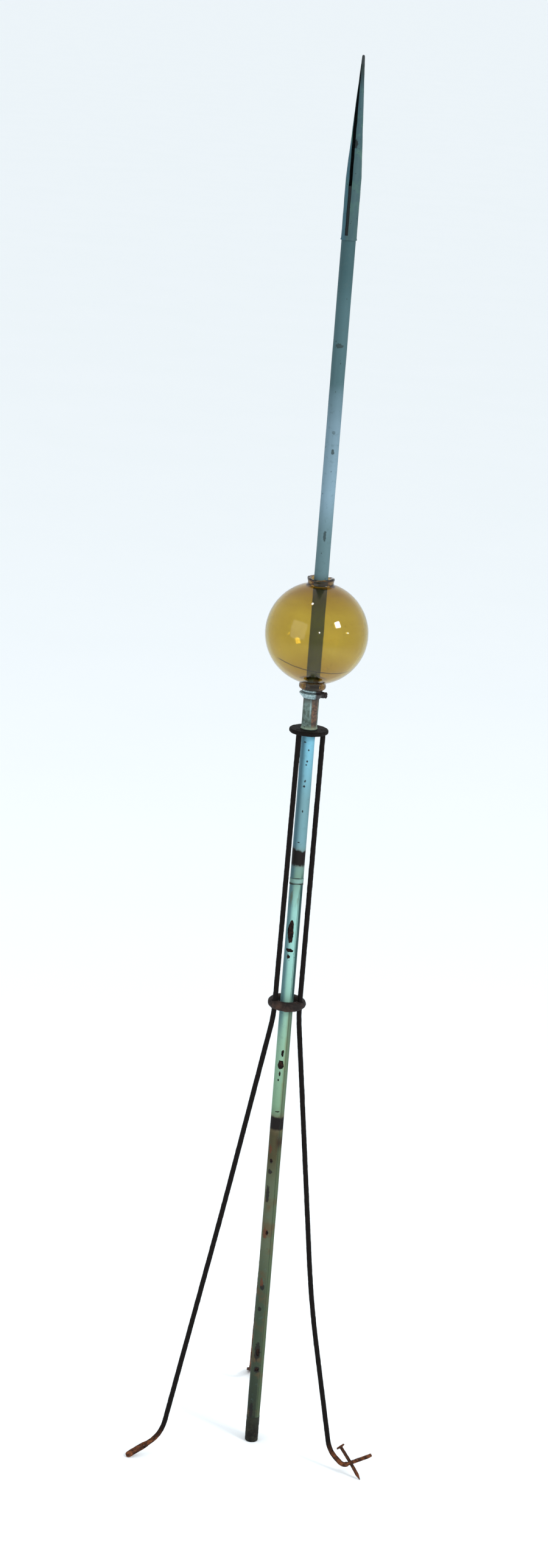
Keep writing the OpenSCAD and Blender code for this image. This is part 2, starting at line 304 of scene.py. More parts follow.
class Wire:
    """A socket's value; arithmetic on it adds Math nodes."""

    def __init__(self, tree, socket):
        self.tree, self.socket = tree, socket

    def math(self, operation, *others):
        return self.tree.node("ShaderNodeMath", {"operation": operation},
                              dict(enumerate((self, *others))))

    def __add__(self, other):
        return self.math("ADD", other)

    def __sub__(self, other):
        return self.math("SUBTRACT", other)

    def __mul__(self, other):
        return self.math("MULTIPLY", other)

    def __truediv__(self, other):
        return self.math("DIVIDE", other)

    __radd__, __rmul__ = __add__, __mul__

    def ramp(self, low, high):
        """0 at low, 1 at high, eased in between."""
        return self.tree.node("ShaderNodeMapRange",
                              {"interpolation_type": "SMOOTHSTEP"},
                              {"Value": self, "From Min": low, "From Max": high})

    def near(self, centre, reach):
        """1 at centre, easing to 0 at reach on either side."""
        return (self - centre).math("ABSOLUTE").ramp(reach, 0)

    def top(self, other):
        return self.math("MAXIMUM", other)


class Finish:
    """A material under construction, on the piece's own object coordinates."""

    def __init__(self, name):
        self.material = bpy.data.materials.new(name)
        self.material.use_nodes = True
        self.nodes = self.material.node_tree.nodes
        self.links = self.material.node_tree.links
        self.shader = self.nodes["Principled BSDF"]
        self.shade = None  # what paint() adds to
        self.place = self.node("ShaderNodeTexCoord", out="Object")
        split = self.node("ShaderNodeSeparateXYZ", inputs={0: self.place}).socket.node
        self.x, self.y, self.z = (Wire(self, split.outputs[i]) for i in range(3))

    def node(self, kind, settings=None, inputs=None, out=0):
        """Adds any node: its settings first, then the values or links of its sockets."""
        made = self.nodes.new(kind)
        for key, value in (settings or {}).items():
            setattr(made, key, value)
        for key, value in (inputs or {}).items():
            self.feed(made.inputs[key], value)
        return Wire(self, made.outputs[out])

    def feed(self, socket, value):
        if isinstance(value, Wire):
            self.links.new(value.socket, socket)
        elif hasattr(value, "__len__") and len(value) == 3 and socket.type == "RGBA":
            socket.default_value = (*value, 1)
        else:
            socket.default_value = value

    def stretched(self, x, y, z, shift=0.0):
        return self.node("ShaderNodeMapping", {}, {"Vector": self.place, "Scale": (x, y, z),
                                                   "Location": (shift, shift, shift)})

    def noise(self, scale, detail=4.0, roughness=0.55, stretch=(1, 1, 1), shift=0.0):
        return self.node("ShaderNodeTexNoise", {},
                         {"Vector": self.stretched(*stretch, shift), "Scale": scale,
                          "Detail": detail, "Roughness": roughness})

    def specks(self, scale, size, stretch=(1, 1, 1), shift=0.0):
        """Round dots of a share of the cell size, 1 inside them."""
        cells = self.node("ShaderNodeTexVoronoi", {},
                          {"Vector": self.stretched(*stretch, shift), "Scale": scale})
        return cells.ramp(size, size * 0.55)

    def mix(self, factor, a, b):
        return self.node("ShaderNodeMix", {"data_type": "RGBA", "clamp_factor": True},
                         {"Factor": factor, 6: a, 7: b}, out=2)

    def along(self, value, low, high, stops):
        """A colour that changes with value, from stops of (value, colour)."""
        made = self.nodes.new("ShaderNodeValToRGB")
        ramp = made.color_ramp
        while len(ramp.elements) < len(stops):
            ramp.elements.new(0.5)
        for element, (at, shade) in zip(ramp.elements, sorted(stops)):
            element.position = (at - low) / (high - low)
            element.color = (*shade, 1)
        self.feed(made.inputs[0], (value - low) / (high - low))
        return Wire(self, made.outputs[0])

    def bump(self, height, strength, distance=0.2 * MM):
        return self.node("ShaderNodeBump", {},
                         {"Height": height, "Strength": strength, "Distance": distance})

    def paint(self, factor, colour):
        """Lays one more colour over the shade so far."""
        self.shade = self.mix(factor, self.shade, colour)

    def done(self, **inputs):
        """Feeds the surface shader's sockets and hands the material over."""
        for key, value in {"Base_Color": self.shade, **inputs}.items():
            self.feed(self.shader.inputs[key.replace("_", " ")], value)
        return self.material


def patch(finish, angle, z, wide, tall, ragged=0.6):
    """A ragged spot on the rod: its angle off the front in degrees, its height in metres,
    then its width and length in mm."""
    turn = FRONT + math.radians(angle)
    across = finish.x * (-math.sin(turn)) + finish.y * math.cos(turn)
    outward = finish.x * math.cos(turn) + finish.y * math.sin(turn)
    side = across / (wide * MM / 2)
    rise = (finish.z - z) / (tall * MM / 2)
    far = (side * side + rise * rise).math("SQRT")
    rag = (finish.noise(420, detail=3, shift=z * 7) - 0.5) * (2 * ragged)
    return (far + rag).ramp(1.1, 0.8) * outward.ramp(0, 2 * MM)


def black_iron():
    f = Finish("black_iron")
    iron = bpy.context.scene.rod_iron
    blotch = f.noise(38, detail=5).ramp(0.5, 0.72)
    fine = f.noise(900, detail=3)
    worn = f.noise(120, detail=6, roughness=0.7).ramp(0.62, 0.78)
    f.shade = f.mix(blotch * 0.5, iron.black, linear(34, 24, 20))
    f.paint(worn * 0.3, linear(66, 42, 30))
    height = fine * 0.5 + f.noise(260, detail=5)
    return f.done(Roughness=0.5 + 0.25 * fine, Metallic=0.05,
                  Specular_IOR_Level=0.07, Normal=f.bump(height, 0.6, 0.25 * MM))


def ring_iron():
    f = Finish("ring_iron")
    blotch = f.noise(70, detail=6, roughness=0.65).ramp(0.42, 0.66)
    rust = f.noise(140, detail=5, shift=3).ramp(0.52, 0.7)
    fine = f.noise(800, detail=3)
    f.shade = f.mix(blotch, linear(24, 18, 16), linear(54, 40, 34))
    f.paint(rust * 0.3, linear(84, 56, 42))
    return f.done(Roughness=0.6 + 0.25 * fine, Metallic=0.05,
                  Specular_IOR_Level=0.18, Normal=f.bump(fine + 2 * blotch, 0.6, 0.3 * MM))


def rusty_nail():
    f = Finish("rusty_nail")
    iron = bpy.context.scene.rod_iron
    blotch = f.noise(90, detail=6, roughness=0.7).ramp(0.4, 0.62)
    orange = f.noise(260, detail=4, shift=5).ramp(0.5, 0.68)
    fine = f.noise(1100, detail=3)
    rust = tuple(c * 0.7 for c in iron.rust)
    f.shade = f.mix(blotch, linear(46, 30, 22), rust)
    f.paint(orange * 0.4, lit(150, 92, 56))
    f.paint(f.noise(180, shift=9).ramp(0.58, 0.7) * 0.7, iron.black)
    return f.done(Roughness=0.75 + 0.15 * fine, Specular_IOR_Level=0.18,
                  Normal=f.bump(fine + blotch, 0.8, 0.3 * MM))


def leg_iron():
    """Black along the leg, rusting towards the foot."""
    f = Finish("leg_iron")
    iron = bpy.context.scene.rod_iron
    low = (f.z + (f.noise(60, detail=5) - 0.5) * 0.03).ramp(0.034, 0.012)
    low = low.top((f.x * f.x + f.y * f.y).math("SQRT").ramp(HEEL_R, FOOT_R))
    fine = f.noise(900, detail=3)
    worn = f.noise(120, detail=6, roughness=0.7).ramp(0.6, 0.76)
    blotch = f.noise(110, detail=6, roughness=0.7).ramp(0.42, 0.62)
    black = f.mix(worn * 0.3, iron.black, linear(58, 38, 30))
    rust = f.mix(blotch, linear(52, 32, 24), linear(118, 70, 42))
    rust = f.mix(f.noise(170, shift=9).ramp(0.56, 0.7) * 0.8, rust, iron.black)
    f.shade = f.mix(low, black, rust)
    return f.done(Specular_IOR_Level=0.07,
                  Roughness=0.5 + 0.2 * fine + 0.15 * low,
                  Normal=f.bump(f.noise(260, detail=5) + fine * 0.5, 0.7, 0.25 * MM))


def green_copper():
    """Teal sheet with verdigris near the tip, and grime along its seam."""
    f = Finish("green_copper")
    metal = bpy.context.scene.rod_metal
    streak = f.noise(60, detail=5, stretch=(1, 1, 0.12))
    patches = f.noise(75, detail=5, roughness=0.6, shift=2).ramp(0.5, 0.64)
    tall = f.z.ramp(SHELL_LOW.z, SHELL_HIGH.z)
    f.shade = f.mix(streak.ramp(0.35, 0.65), lit(54, 84, 92), metal.copper)
    # Painted light: the left of the point is a lighter, bluer teal than the rest
    f.shade = f.mix(f.x.ramp(-7 * MM, -3 * MM), lit(64, 104, 118), f.shade)
    f.paint(patches * (0.2 + 0.6 * tall), metal.verdigris)
    f.paint(f.specks(240, 0.16).top(f.noise(210, shift=6).ramp(0.7, 0.76)) * 0.8,
            linear(24, 34, 36))
    f.paint(f.z.ramp(SHELL_HIGH.z - 34 * MM, SHELL_HIGH.z), linear(30, 40, 40))
    f.paint(patch(f, -12, SHELL_LOW.z + 102 * MM, 6, 10), linear(20, 28, 30))
    fine = f.noise(700, detail=4)
    return f.done(Roughness=0.52 + 0.2 * fine, Metallic=0.1,
                  Specular_IOR_Level=0.2, Normal=f.bump(fine + streak, 0.4, 0.15 * MM))


def painted_inside_shade():
    # Near-black painted shade for the point's inward faces, seen through its open seam
    f = Finish("painted_inside_shade")
    fine = f.noise(500, detail=4)
    f.shade = f.mix(fine, linear(10, 18, 20), linear(30, 38, 40))
    return f.done(Roughness=0.7 + 0.2 * fine, Specular_IOR_Level=0.15,
                  Normal=f.bump(fine, 0.5))


def blue_tube():
    """Blue-grey sheet, darker towards the point, with stains and pinholes."""
    f = Finish("blue_tube")
    metal = bpy.context.scene.rod_metal
    low, high = BALL_HIGH.z - 0.14, SHELL_LOW.z
    drift = f.z + (f.noise(14, detail=3) - 0.5) * 0.05
    moss, dusk, sky = lit(80, 96, 84), lit(100, 130, 136), lit(134, 164, 180)
    mist, slate, teal = lit(120, 148, 162), lit(74, 106, 112), lit(60, 92, 97)
    f.shade = f.along(drift, low, high, [
        (low, moss), (1.05, dusk), (1.085, dusk), (1.14, sky), (1.21, mist), (1.26, slate),
        (1.34, slate), (1.38, teal)])
    streak = f.noise(90, detail=6, stretch=(1, 1, 0.06))
    f.paint(streak.ramp(0.5, 0.75) * 0.25, metal.blue_sheet)
    f.paint(f.noise(160, detail=6, roughness=0.7).ramp(0.52, 0.7) * 0.3, linear(62, 82, 84))
    grime = f.specks(170, 0.11, stretch=(1, 1, 0.5)).top(
        f.noise(120, detail=5, shift=4).ramp(0.71, 0.76) * 0.7)
    for *spot, strength in (
            (-8, 1.299, 9, 6, 0.9, 1), (6, 1.205, 4, 4, 0.6, 0.5),
            (10, 1.1835, 3.5, 6, 0.6, 1), (0, 1.0905, 3.5, 12, 0.8, 1)):
        grime = grime.top(patch(f, *spot) * strength)
    f.paint(grime * 0.8, linear(38, 50, 50))
    # Painted shade: near black where the tube runs inside the point, seen through its open seam
    painted_shade_in_point = f.z.ramp(SHELL_LOW.z - 1 * MM, SHELL_LOW.z + 2 * MM)
    f.paint(painted_shade_in_point, linear(14, 20, 22))
    fine = f.noise(800, detail=4)
    return f.done(Roughness=0.55 + 0.2 * fine, Metallic=0.1,
                  Specular_IOR_Level=0.2, Normal=f.bump(fine + streak, 0.35, 0.15 * MM))


def pale_tube():
    """Pale galvanised sheet: blue at the top, green by the ring, olive and rust below."""
    f = Finish("pale_tube")
    metal = bpy.context.scene.rod_metal
    drift = f.z + (f.noise(24, detail=4) - 0.5) * 8 * MM
    steel, sedge, fern = lit(121, 165, 174), lit(121, 158, 142), lit(134, 172, 140)
    leaf, umber = lit(152, 194, 166), lit(80, 76, 52)
    moss, soot = lit(66, 80, 63), lit(44, 52, 43)
    f.shade = f.along(drift, 0, 0.87, [
        (0.03, soot), (0.13, moss), (0.19, moss), (0.25, metal.olive_sheet),
        (0.33, metal.olive_sheet), (0.36, umber), (0.39, umber), (0.425, fern), (0.5, leaf),
        (0.6, metal.mint_sheet), (0.66, metal.mint_sheet), (0.7, sedge), (0.74, steel),
        (0.79, steel), (0.86, metal.pale_sheet)])
    # Painted blue shade on the left above the ring, and the right is dull below it
    ragged = (f.noise(130, detail=4, stretch=(1, 1, 0.12)) - 0.5) * 3 * MM
    left = (f.x + ragged).ramp(-1.5 * MM, -6 * MM) * f.z.ramp(0.49, 0.54)
    f.paint(left * 0.7, lit(78, 122, 140))
    right = (f.x + ragged).ramp(1 * MM, 4 * MM) * f.z.ramp(0.57, 0.53)
    f.paint(right * 0.75, lit(88, 104, 76))
    strip = (f.x + ragged * 0.4).ramp(3.6 * MM, 4.8 * MM) * f.z.ramp(0.54, 0.56)
    f.paint(strip * f.z.ramp(0.71, 0.69), lit(52, 88, 86))
    # Olive stain beside the seam
    stain = f.x.near(2.6 * MM, 3 * MM) * f.z.ramp(0.56, 0.5) * f.z.ramp(0.4, 0.44)
    f.paint(stain * f.noise(50, detail=3).ramp(0.3, 0.6) * 0.5, lit(128, 132, 80))
    mottle = f.noise(170, detail=6, roughness=0.7)
    f.paint(mottle.ramp(0.55, 0.72) * 0.25, lit(90, 120, 124))
    f.paint(f.noise(60, detail=5, shift=8).ramp(0.5, 0.7) * f.z.ramp(0.39, 0.3) * 0.7,
            lit(98, 78, 54))
    # Rust bands, with ragged edges
    wavy = f.z + (f.noise(110, detail=5, shift=1) - 0.5) * 10 * MM
    rust = linear(20, 15, 14)
    rim = lit(112, 78, 50)
    for middle, half, fade in ((0.7225, 9 * MM, 3 * MM), (0.403, 8 * MM, 4 * MM)):
        f.paint(wavy.near(middle, half + 2 * fade) * 0.8, rim)
        f.paint((wavy - middle).math("ABSOLUTE").ramp(half + fade / 2, half - fade / 2), rust)
    f.paint(wavy.near(0.38, 14 * MM) * f.x.ramp(-2 * MM, 3 * MM) * 0.9, lit(60, 42, 30))
    # Drips under the splice, and pinholes all over
    drip = f.noise(240, detail=4, stretch=(1, 1, 0.16)).ramp(0.52, 0.62)
    f.paint(drip * f.z.near(0.677, 17 * MM) * 0.75, linear(88, 92, 72))
    pins = f.specks(190, 0.1, stretch=(1, 1, 0.8), shift=2) * f.noise(40, shift=3).ramp(0.5, 0.6)
    f.paint(pins * 0.85, linear(22, 26, 30))
    spots = (
        (-24, 0.857, 3, 2), (13, 0.848, 2, 2), (8, 0.835, 2.2, 3), (3, 0.831, 2, 2),
        (3, 0.812, 2.2, 3), (-2, 0.806, 2.6, 2.5), (2, 0.777, 1.6, 3), (-10, 0.7405, 2.6, 1.6),
        (-24, 0.3565, 4, 6), (-28, 0.343, 5, 6), (-36, 0.315, 5, 22), (-12, 0.2675, 4, 7),
        (-14, 0.199, 5, 8), (-22, 0.171, 4, 6), (-10, 0.117, 7, 24), (-4, 0.094, 7, 8),
        (-26, 0.042, 5, 22))
    for spot in spots:
        f.paint(patch(f, *spot) * 0.9, linear(28, 26, 26))
    for spot in ((-30, 0.2665, 6, 16), (-24, 0.205, 4, 12), (-42, 0.37, 4, 12)):
        f.paint(patch(f, *spot, ragged=1.0) * 0.8, lit(104, 62, 42))
    groove = f.x.near(SEAM_X, 0.45 * MM) * f.y.ramp(0, -2 * MM) * f.z.ramp(0.69, 0.68)
    f.paint(groove * 0.85, linear(36, 44, 38))
    fine = f.noise(800, detail=4)
    dark = f.z.ramp(0.42, 0.38)
    return f.done(Roughness=0.5 + 0.2 * fine + 0.15 * dark,
                  Specular_IOR_Level=0.15,
                  Normal=f.bump(fine + mottle, 0.35, 0.15 * MM))


def solder_band():
    f = Finish("solder_band")
    fine = f.noise(420, detail=5)
    edge = f.z.near(BAND_LOW.z + BAND_SAG, 2.4 * MM).top(
        f.z.near(BAND_HIGH.z + BAND_SAG, 2.4 * MM))
    f.shade = f.mix(fine, lit(118, 158, 150), lit(150, 192, 182))
    f.paint(edge * f.noise(200, detail=4).ramp(0.1, 0.35), linear(26, 24, 19))
    return f.done(Roughness=0.5 + 0.3 * fine, Specular_IOR_Level=0.2,
                  Normal=f.bump(fine, 0.6, 0.2 * MM))


def rusty_ferrule():
    f = Finish("rusty_ferrule")
    blotch = f.noise(120, detail=6, roughness=0.7).ramp(0.4, 0.62)
    f.shade = f.mix(blotch, linear(16, 14, 12), linear(34, 35, 28))
    f.paint(f.noise(300, shift=2).ramp(0.55, 0.7) * 0.35, linear(58, 44, 32))
    f.paint(f.z.ramp(10 * MM, 30 * MM) * 0.5, linear(40, 44, 34))
    fine = f.noise(900, detail=4)
    return f.done(Roughness=0.7 + 0.2 * fine, Specular_IOR_Level=0.18,
                  Normal=f.bump(fine + blotch, 0.8, 0.25 * MM))


def core_iron():
    f = Finish("core_iron")
    fine = f.noise(350, detail=5)
    f.shade = f.mix(fine.ramp(0.4, 0.65), linear(16, 12, 12), linear(48, 30, 24))
    return f.done(Roughness=0.8 + 0.15 * fine, Specular_IOR_Level=0.12,
                  Normal=f.bump(fine, 0.8, 0.3 * MM))


def tip_metal():
    f = Finish("tip_metal")
    fine = f.noise(600, detail=4)
    f.shade = f.mix(fine, linear(10, 16, 22), linear(34, 44, 46))
    return f.done(Roughness=0.5 + 0.3 * fine, Metallic=0.3,
                  Normal=f.bump(fine, 0.4, 0.15 * MM))


def galvanised_collar():
    """Light zinc on one side, black grease and soot on the other."""
    f = Finish("galvanised_collar")
    fine = f.noise(500, detail=5)
    f.shade = f.mix(fine.ramp(0.35, 0.65), linear(108, 132, 136), linear(168, 192, 194))
    height = (f.z - COLLAR_LOW.z) / (COLLAR_HIGH.z - COLLAR_LOW.z)
    f.paint(height.near(0.72, 0.13) * 0.85, linear(26, 34, 34))
    f.paint(height.ramp(0.12, 0), linear(20, 18, 18))
    ragged = f.x + (f.noise(160, detail=5) - 0.5) * 7 * MM
    f.paint(ragged.ramp(1.5 * MM, 5 * MM), linear(30, 24, 24))
    return f.done(Roughness=0.4 + 0.3 * fine, Metallic=0.3,
                  Normal=f.bump(fine, 0.5, 0.25 * MM))


def black_screw():
    f = Finish("black_screw")
    fine = f.noise(700, detail=4)
    f.shade = f.mix(fine, linear(16, 13, 15), linear(44, 34, 34))
    return f.done(Roughness=0.5 + 0.3 * fine, Specular_IOR_Level=0.25,
                  Normal=f.bump(fine, 0.5, 0.15 * MM))


def mottled_sleeve():
    """Grey-green sheet that has rusted orange on its right."""
    f = Finish("mottled_sleeve")
    blotch = f.noise(130, detail=6, roughness=0.65).ramp(0.4, 0.62)
    f.shade = f.mix(blotch, lit(72, 90, 80), lit(126, 152, 146))
    streak = f.noise(150, detail=4, stretch=(1, 1, 0.2))
    low, high = SLEEVE_LOW.z, SLEEVE_HIGH.z
    # A painted highlight: a pale strip down the upper front of the sleeve
    painted_highlight = f.x.near(-0.8 * MM, 1.1 * MM) * f.z.ramp(low + 13 * MM, low + 19 * MM)
    f.paint(painted_highlight * 0.8, lit(158, 188, 190))
    rust = (f.x + (streak - 0.5) * 6 * MM).ramp(0.2 * MM, 1.8 * MM) * f.x.ramp(8.6 * MM, 6.6 * MM)
    orange = f.mix(f.noise(260, detail=5).ramp(0.42, 0.6), lit(64, 42, 30), lit(110, 72, 46))
    f.paint(rust * 0.92, orange)
    f.paint(f.z.ramp(low + 6 * MM, low) * 0.6, linear(128, 148, 122))
    f.paint(f.z.ramp(high - 9 * MM, high) * 0.7, linear(40, 36, 30))
    f.paint(f.noise(230, detail=4, shift=7).ramp(0.62, 0.7) * 0.8, linear(36, 32, 28))
    fine = f.noise(800, detail=4)
    return f.done(Roughness=0.5 + 0.25 * fine, Metallic=0.15,
                  Normal=f.bump(fine + blotch, 0.5, 0.2 * MM))


def amber_glass():
    """Clear amber glass with a dirty tide mark low on its inside."""
    f = Finish("amber_glass")
    glass = bpy.context.scene.rod_glass
    rise = f.z - BALL_Z
    cloud = f.noise(28, detail=4).ramp(0.3, 0.7)
    f.shade = f.mix(cloud * 0.3, glass.amber, linear(214, 190, 108))
    # Painted shade: browner towards the top and the bottom of the ball
    f.paint(rise.math("ABSOLUTE").ramp(26 * MM, 56 * MM) * 0.6, linear(178, 138, 72))
    f.paint(rise.math("ABSOLUTE").ramp(NECK_END - 9 * MM, NECK_END - 6 * MM) * 0.6,
            linear(150, 112, 52))
    # The mark's ends curl up, and its right side hangs a little lower
    wave = rise + f.x * 0.125 - f.x * f.x * 2.6 + (f.noise(60, detail=5, shift=3) - 0.5) * 3 * MM
    mark = -33.5 * MM
    line = wave.near(mark, 1 * MM) * f.y.ramp(-4 * MM, -12 * MM)
    line = line * (f.x + 3 * MM).math("ABSOLUTE").ramp(40 * MM, 37 * MM)
    f.paint(line * 0.92, glass.tide)
    dirt = f.specks(150, 0.14).top(f.specks(90, 0.1, shift=4))
    f.paint(dirt * 0.3, linear(120, 96, 50))
    fine = f.noise(90, detail=3)
    body = f.node("ShaderNodeVolumeAbsorption", {},
                  {"Color": tuple(glass.depth), "Density": GLASS_DENSITY}, out="Volume")
    f.feed(f.nodes["Material Output"].inputs["Volume"], body)
    return f.done(Transmission_Weight=1.0, IOR=GLASS_IOR,
                  Roughness=0.03 + 0.04 * cloud, Normal=f.bump(fine, 0.12, 0.6 * MM))


# ------------ pieces


class Maker(bpy.types.Operator):
    bl_options = {"REGISTER", "UNDO"}

    def execute(self, context):
        self.make(context.scene)
        return {"FINISHED"}


class ROD_OT_point(Maker):
    """Make the seamed sheet point and its solid tip"""

    bl_idname = "rod.point"
    bl_label = "Point and Tip"

    def make(self, scene):
        metal = scene.rod_metal
        lip = metal.lip_flare
        outer = SHELL_HIGH.x - lip
        inner = UPPER_R + SLIP
        neck, top, bottom = TIP_HIGH.x, SHELL_HIGH.z, SHELL_LOW.z
        shoulder = bottom + 66 * MM
        wall = outer - inner
        outline = [(inner, bottom), (inner + 0.2 * MM, bottom - 0.1 * MM),
                   (outer + lip, bottom + 0.1 * MM), (outer + lip * 0.9, bottom + 0.7 * MM),
                   (outer + lip * 0.3, bottom + 1.6 * MM),
                   *run((outer, bottom + 2.6 * MM), (outer, shoulder), 14),
                   *run((outer, shoulder), (neck, top), 34), (neck, top),
                   (neck - wall, top),
                   *run((neck - wall, top), (inner, shoulder), 12),
                   *run((inner, shoulder), (inner, bottom), 6), (inner, bottom)]
        shell = turned("seamed_point", outline, steps=96)
        reshape(shell, lambda co: wobble(co, 0.22 * MM, 11 * MM))
        self.open_seam(shell, metal.seam_gap, bottom + 5 * MM, top)
        settle(shell, "point", "green_copper", green_copper(), "point_shell")
        # The point's inward faces take the near-black painted shade
        shell.data.materials.append(painted_inside_shade())
        for face in shell.data.polygons:
            if face.normal.x * face.center.x + face.normal.y * face.center.y < 0:
                face.material_index = 1
        self.solid_tip(neck, top, wall)

    def open_seam(self, shell, gap, low, high):
        """Cuts one slot down the front, with slightly ragged edges."""
        clear_selection()
        bpy.ops.mesh.primitive_cube_add(size=1, location=(0, -0.5, (low + high) / 2 + 4 * MM),
                                        scale=(gap, 1, high - low + 8 * MM))
        tool = bpy.context.object
        bpy.ops.object.transform_apply(location=True, rotation=True, scale=True)
        bpy.ops.object.mode_set(mode="EDIT")
        bpy.ops.mesh.select_all(action="SELECT")
        bpy.ops.mesh.subdivide(number_cuts=24)
        bpy.ops.object.mode_set(mode="OBJECT")
        turn = Matrix.Rotation(FRONT + math.pi / 2, 4, "Z")

        def ragged(co):
            shift = 0.35 * MM * noise.noise(Vector((0, 3, co.z * 120)))
            edge = 0.3 * MM * noise.noise(Vector((co.x * 900, 0, co.z * 260)))
            return turn @ Vector((co.x - 3 * MM + shift + edge, co.y, co.z))

        reshape(tool, ragged)
        cut(shell, tool)

    def solid_tip(self, neck, top, wall):
        nose = TIP_HIGH.z
        shank = neck - wall - SLIP
        outline = [(0, TIP_LOW.z), (shank * 0.8, TIP_LOW.z), (shank, TIP_LOW.z + 1 * MM),
                   (shank, top), (neck * 1.02, top + 0.05 * MM), (neck * 0.98, top + 1.2 * MM),
                   *run((neck * 0.95, top + 2 * MM), (1.5 * MM, nose - 1.4 * MM), 6),
                   *arc(0, nose - 1.4 * MM, 1.4 * MM, 8, 90, 6)]
        tip = turned("blackened_tip", outline, steps=48)
        reshape(tip, lambda co: wobble(co, 0.12 * MM, 3 * MM, 4))
        settle(tip, "point", "tip_metal", tip_metal(), "point_tip", angle=50)


class ROD_OT_upper_tube(Maker):
    """Make the blue-grey upper tube"""

    bl_idname = "rod.upper_tube"
    bl_label = "Upper Tube"

    def make(self, scene):
        low, high = UPPER_LOW.z, UPPER_HIGH.z
        outline = [*run((CORE_R, low), (UPPER_R, low), 1),
                   *run((UPPER_R, low), (UPPER_R, high), 110), (UPPER_R, high),
                   (CORE_R, high), (CORE_R, low)]
        tube = turned("blue_sheet_tube", outline, steps=64)

        def dented(co):
            # The stretch inside the point keeps its fit
            depth = 0.16 * MM * min(1, max(0, (SHELL_LOW.z - co.z) / (20 * MM)))
            return wobble(co, depth, 26 * MM, 2, UPPER_R - 0.2 * MM)

        reshape(tube, dented)
        settle(tube, "rod", "blue_tube", blue_tube(), "upper_tube")


class ROD_OT_core(Maker):
    """Give the iron core its finish"""

    bl_idname = "rod.core"
    bl_label = "Iron Core"

    def make(self, scene):
        finish = core_iron()
        for place in frame["nodes"]["core_rod"].material_slots:
            place.material = finish


class ROD_OT_ball(Maker):
    """Make the hollow glass ball with its two necks"""

    bl_idname = "rod.ball"
    bl_label = "Glass Ball"

    def make(self, scene):
        glass = scene.rod_glass
        bore, inside = glass.neck_bore, BALL_R - glass.wall
        end = NECK_END
        neck = 15 * MM
        join = math.degrees(math.acos(neck / BALL_R))
        inner_join = math.degrees(math.acos((bore + 1.2 * MM) / inside))
        bottom = [(bore, -end + 2.2 * MM), (bore + 0.5 * MM, -end + 0.8 * MM),
                  (bore + 1.6 * MM, -end), (neck - 1.6 * MM, -end + 0.1 * MM),
                  (neck - 0.2 * MM, -end + 1.2 * MM), (neck + 0.2 * MM, -end + 3.2 * MM),
                  (neck - 0.1 * MM, -end + 5.4 * MM), (neck - 0.5 * MM, -end + 7 * MM)]
        top = [(neck - 0.5 * MM, end - 7 * MM), (neck - 0.6 * MM, end - 5.2 * MM),
               (neck - 0.2 * MM, end - 3.2 * MM), (neck + 0.2 * MM, end - 1.6 * MM),
               (neck, end - 0.5 * MM), (neck - 0.9 * MM, end), (neck - 2.4 * MM, end - 0.1 * MM),
               (bore + 0.9 * MM, end - 1.2 * MM), (bore + 0.3 * MM, end - 3.5 * MM),
               (bore, end - 6 * MM)]
        outline = [*bottom, *arc(0, 0, BALL_R, -join, join, 56), *top,
                   *arc(0, 0, inside, inner_join, -inner_join, 44), bottom[0]]
        ball = turned("amber_ball", [(r, z + BALL_Z) for r, z in outline], steps=112)

        def blown(co):
            rise = co.z - BALL_Z
            turn = math.atan2(co.y, co.x)
            rim = min(1, max(0, (rise - end + 5 * MM) / (5 * MM)))
            chips = 0.5 * MM * noise.noise(Vector((math.cos(turn) * 3, math.sin(turn) * 3, 1)))
            co.z += rim * (0.7 * MM * math.sin(2 * turn + 2.4) - 0.6 * MM + chips)
            if abs(rise) < end - 9 * MM:
                co = wobble(co, 0.25 * MM, 45 * MM, 5)
            return co

        reshape(ball, blown)
        settle(ball, "ball", "amber_glass", amber_glass(), "glass_ball", angle=60)


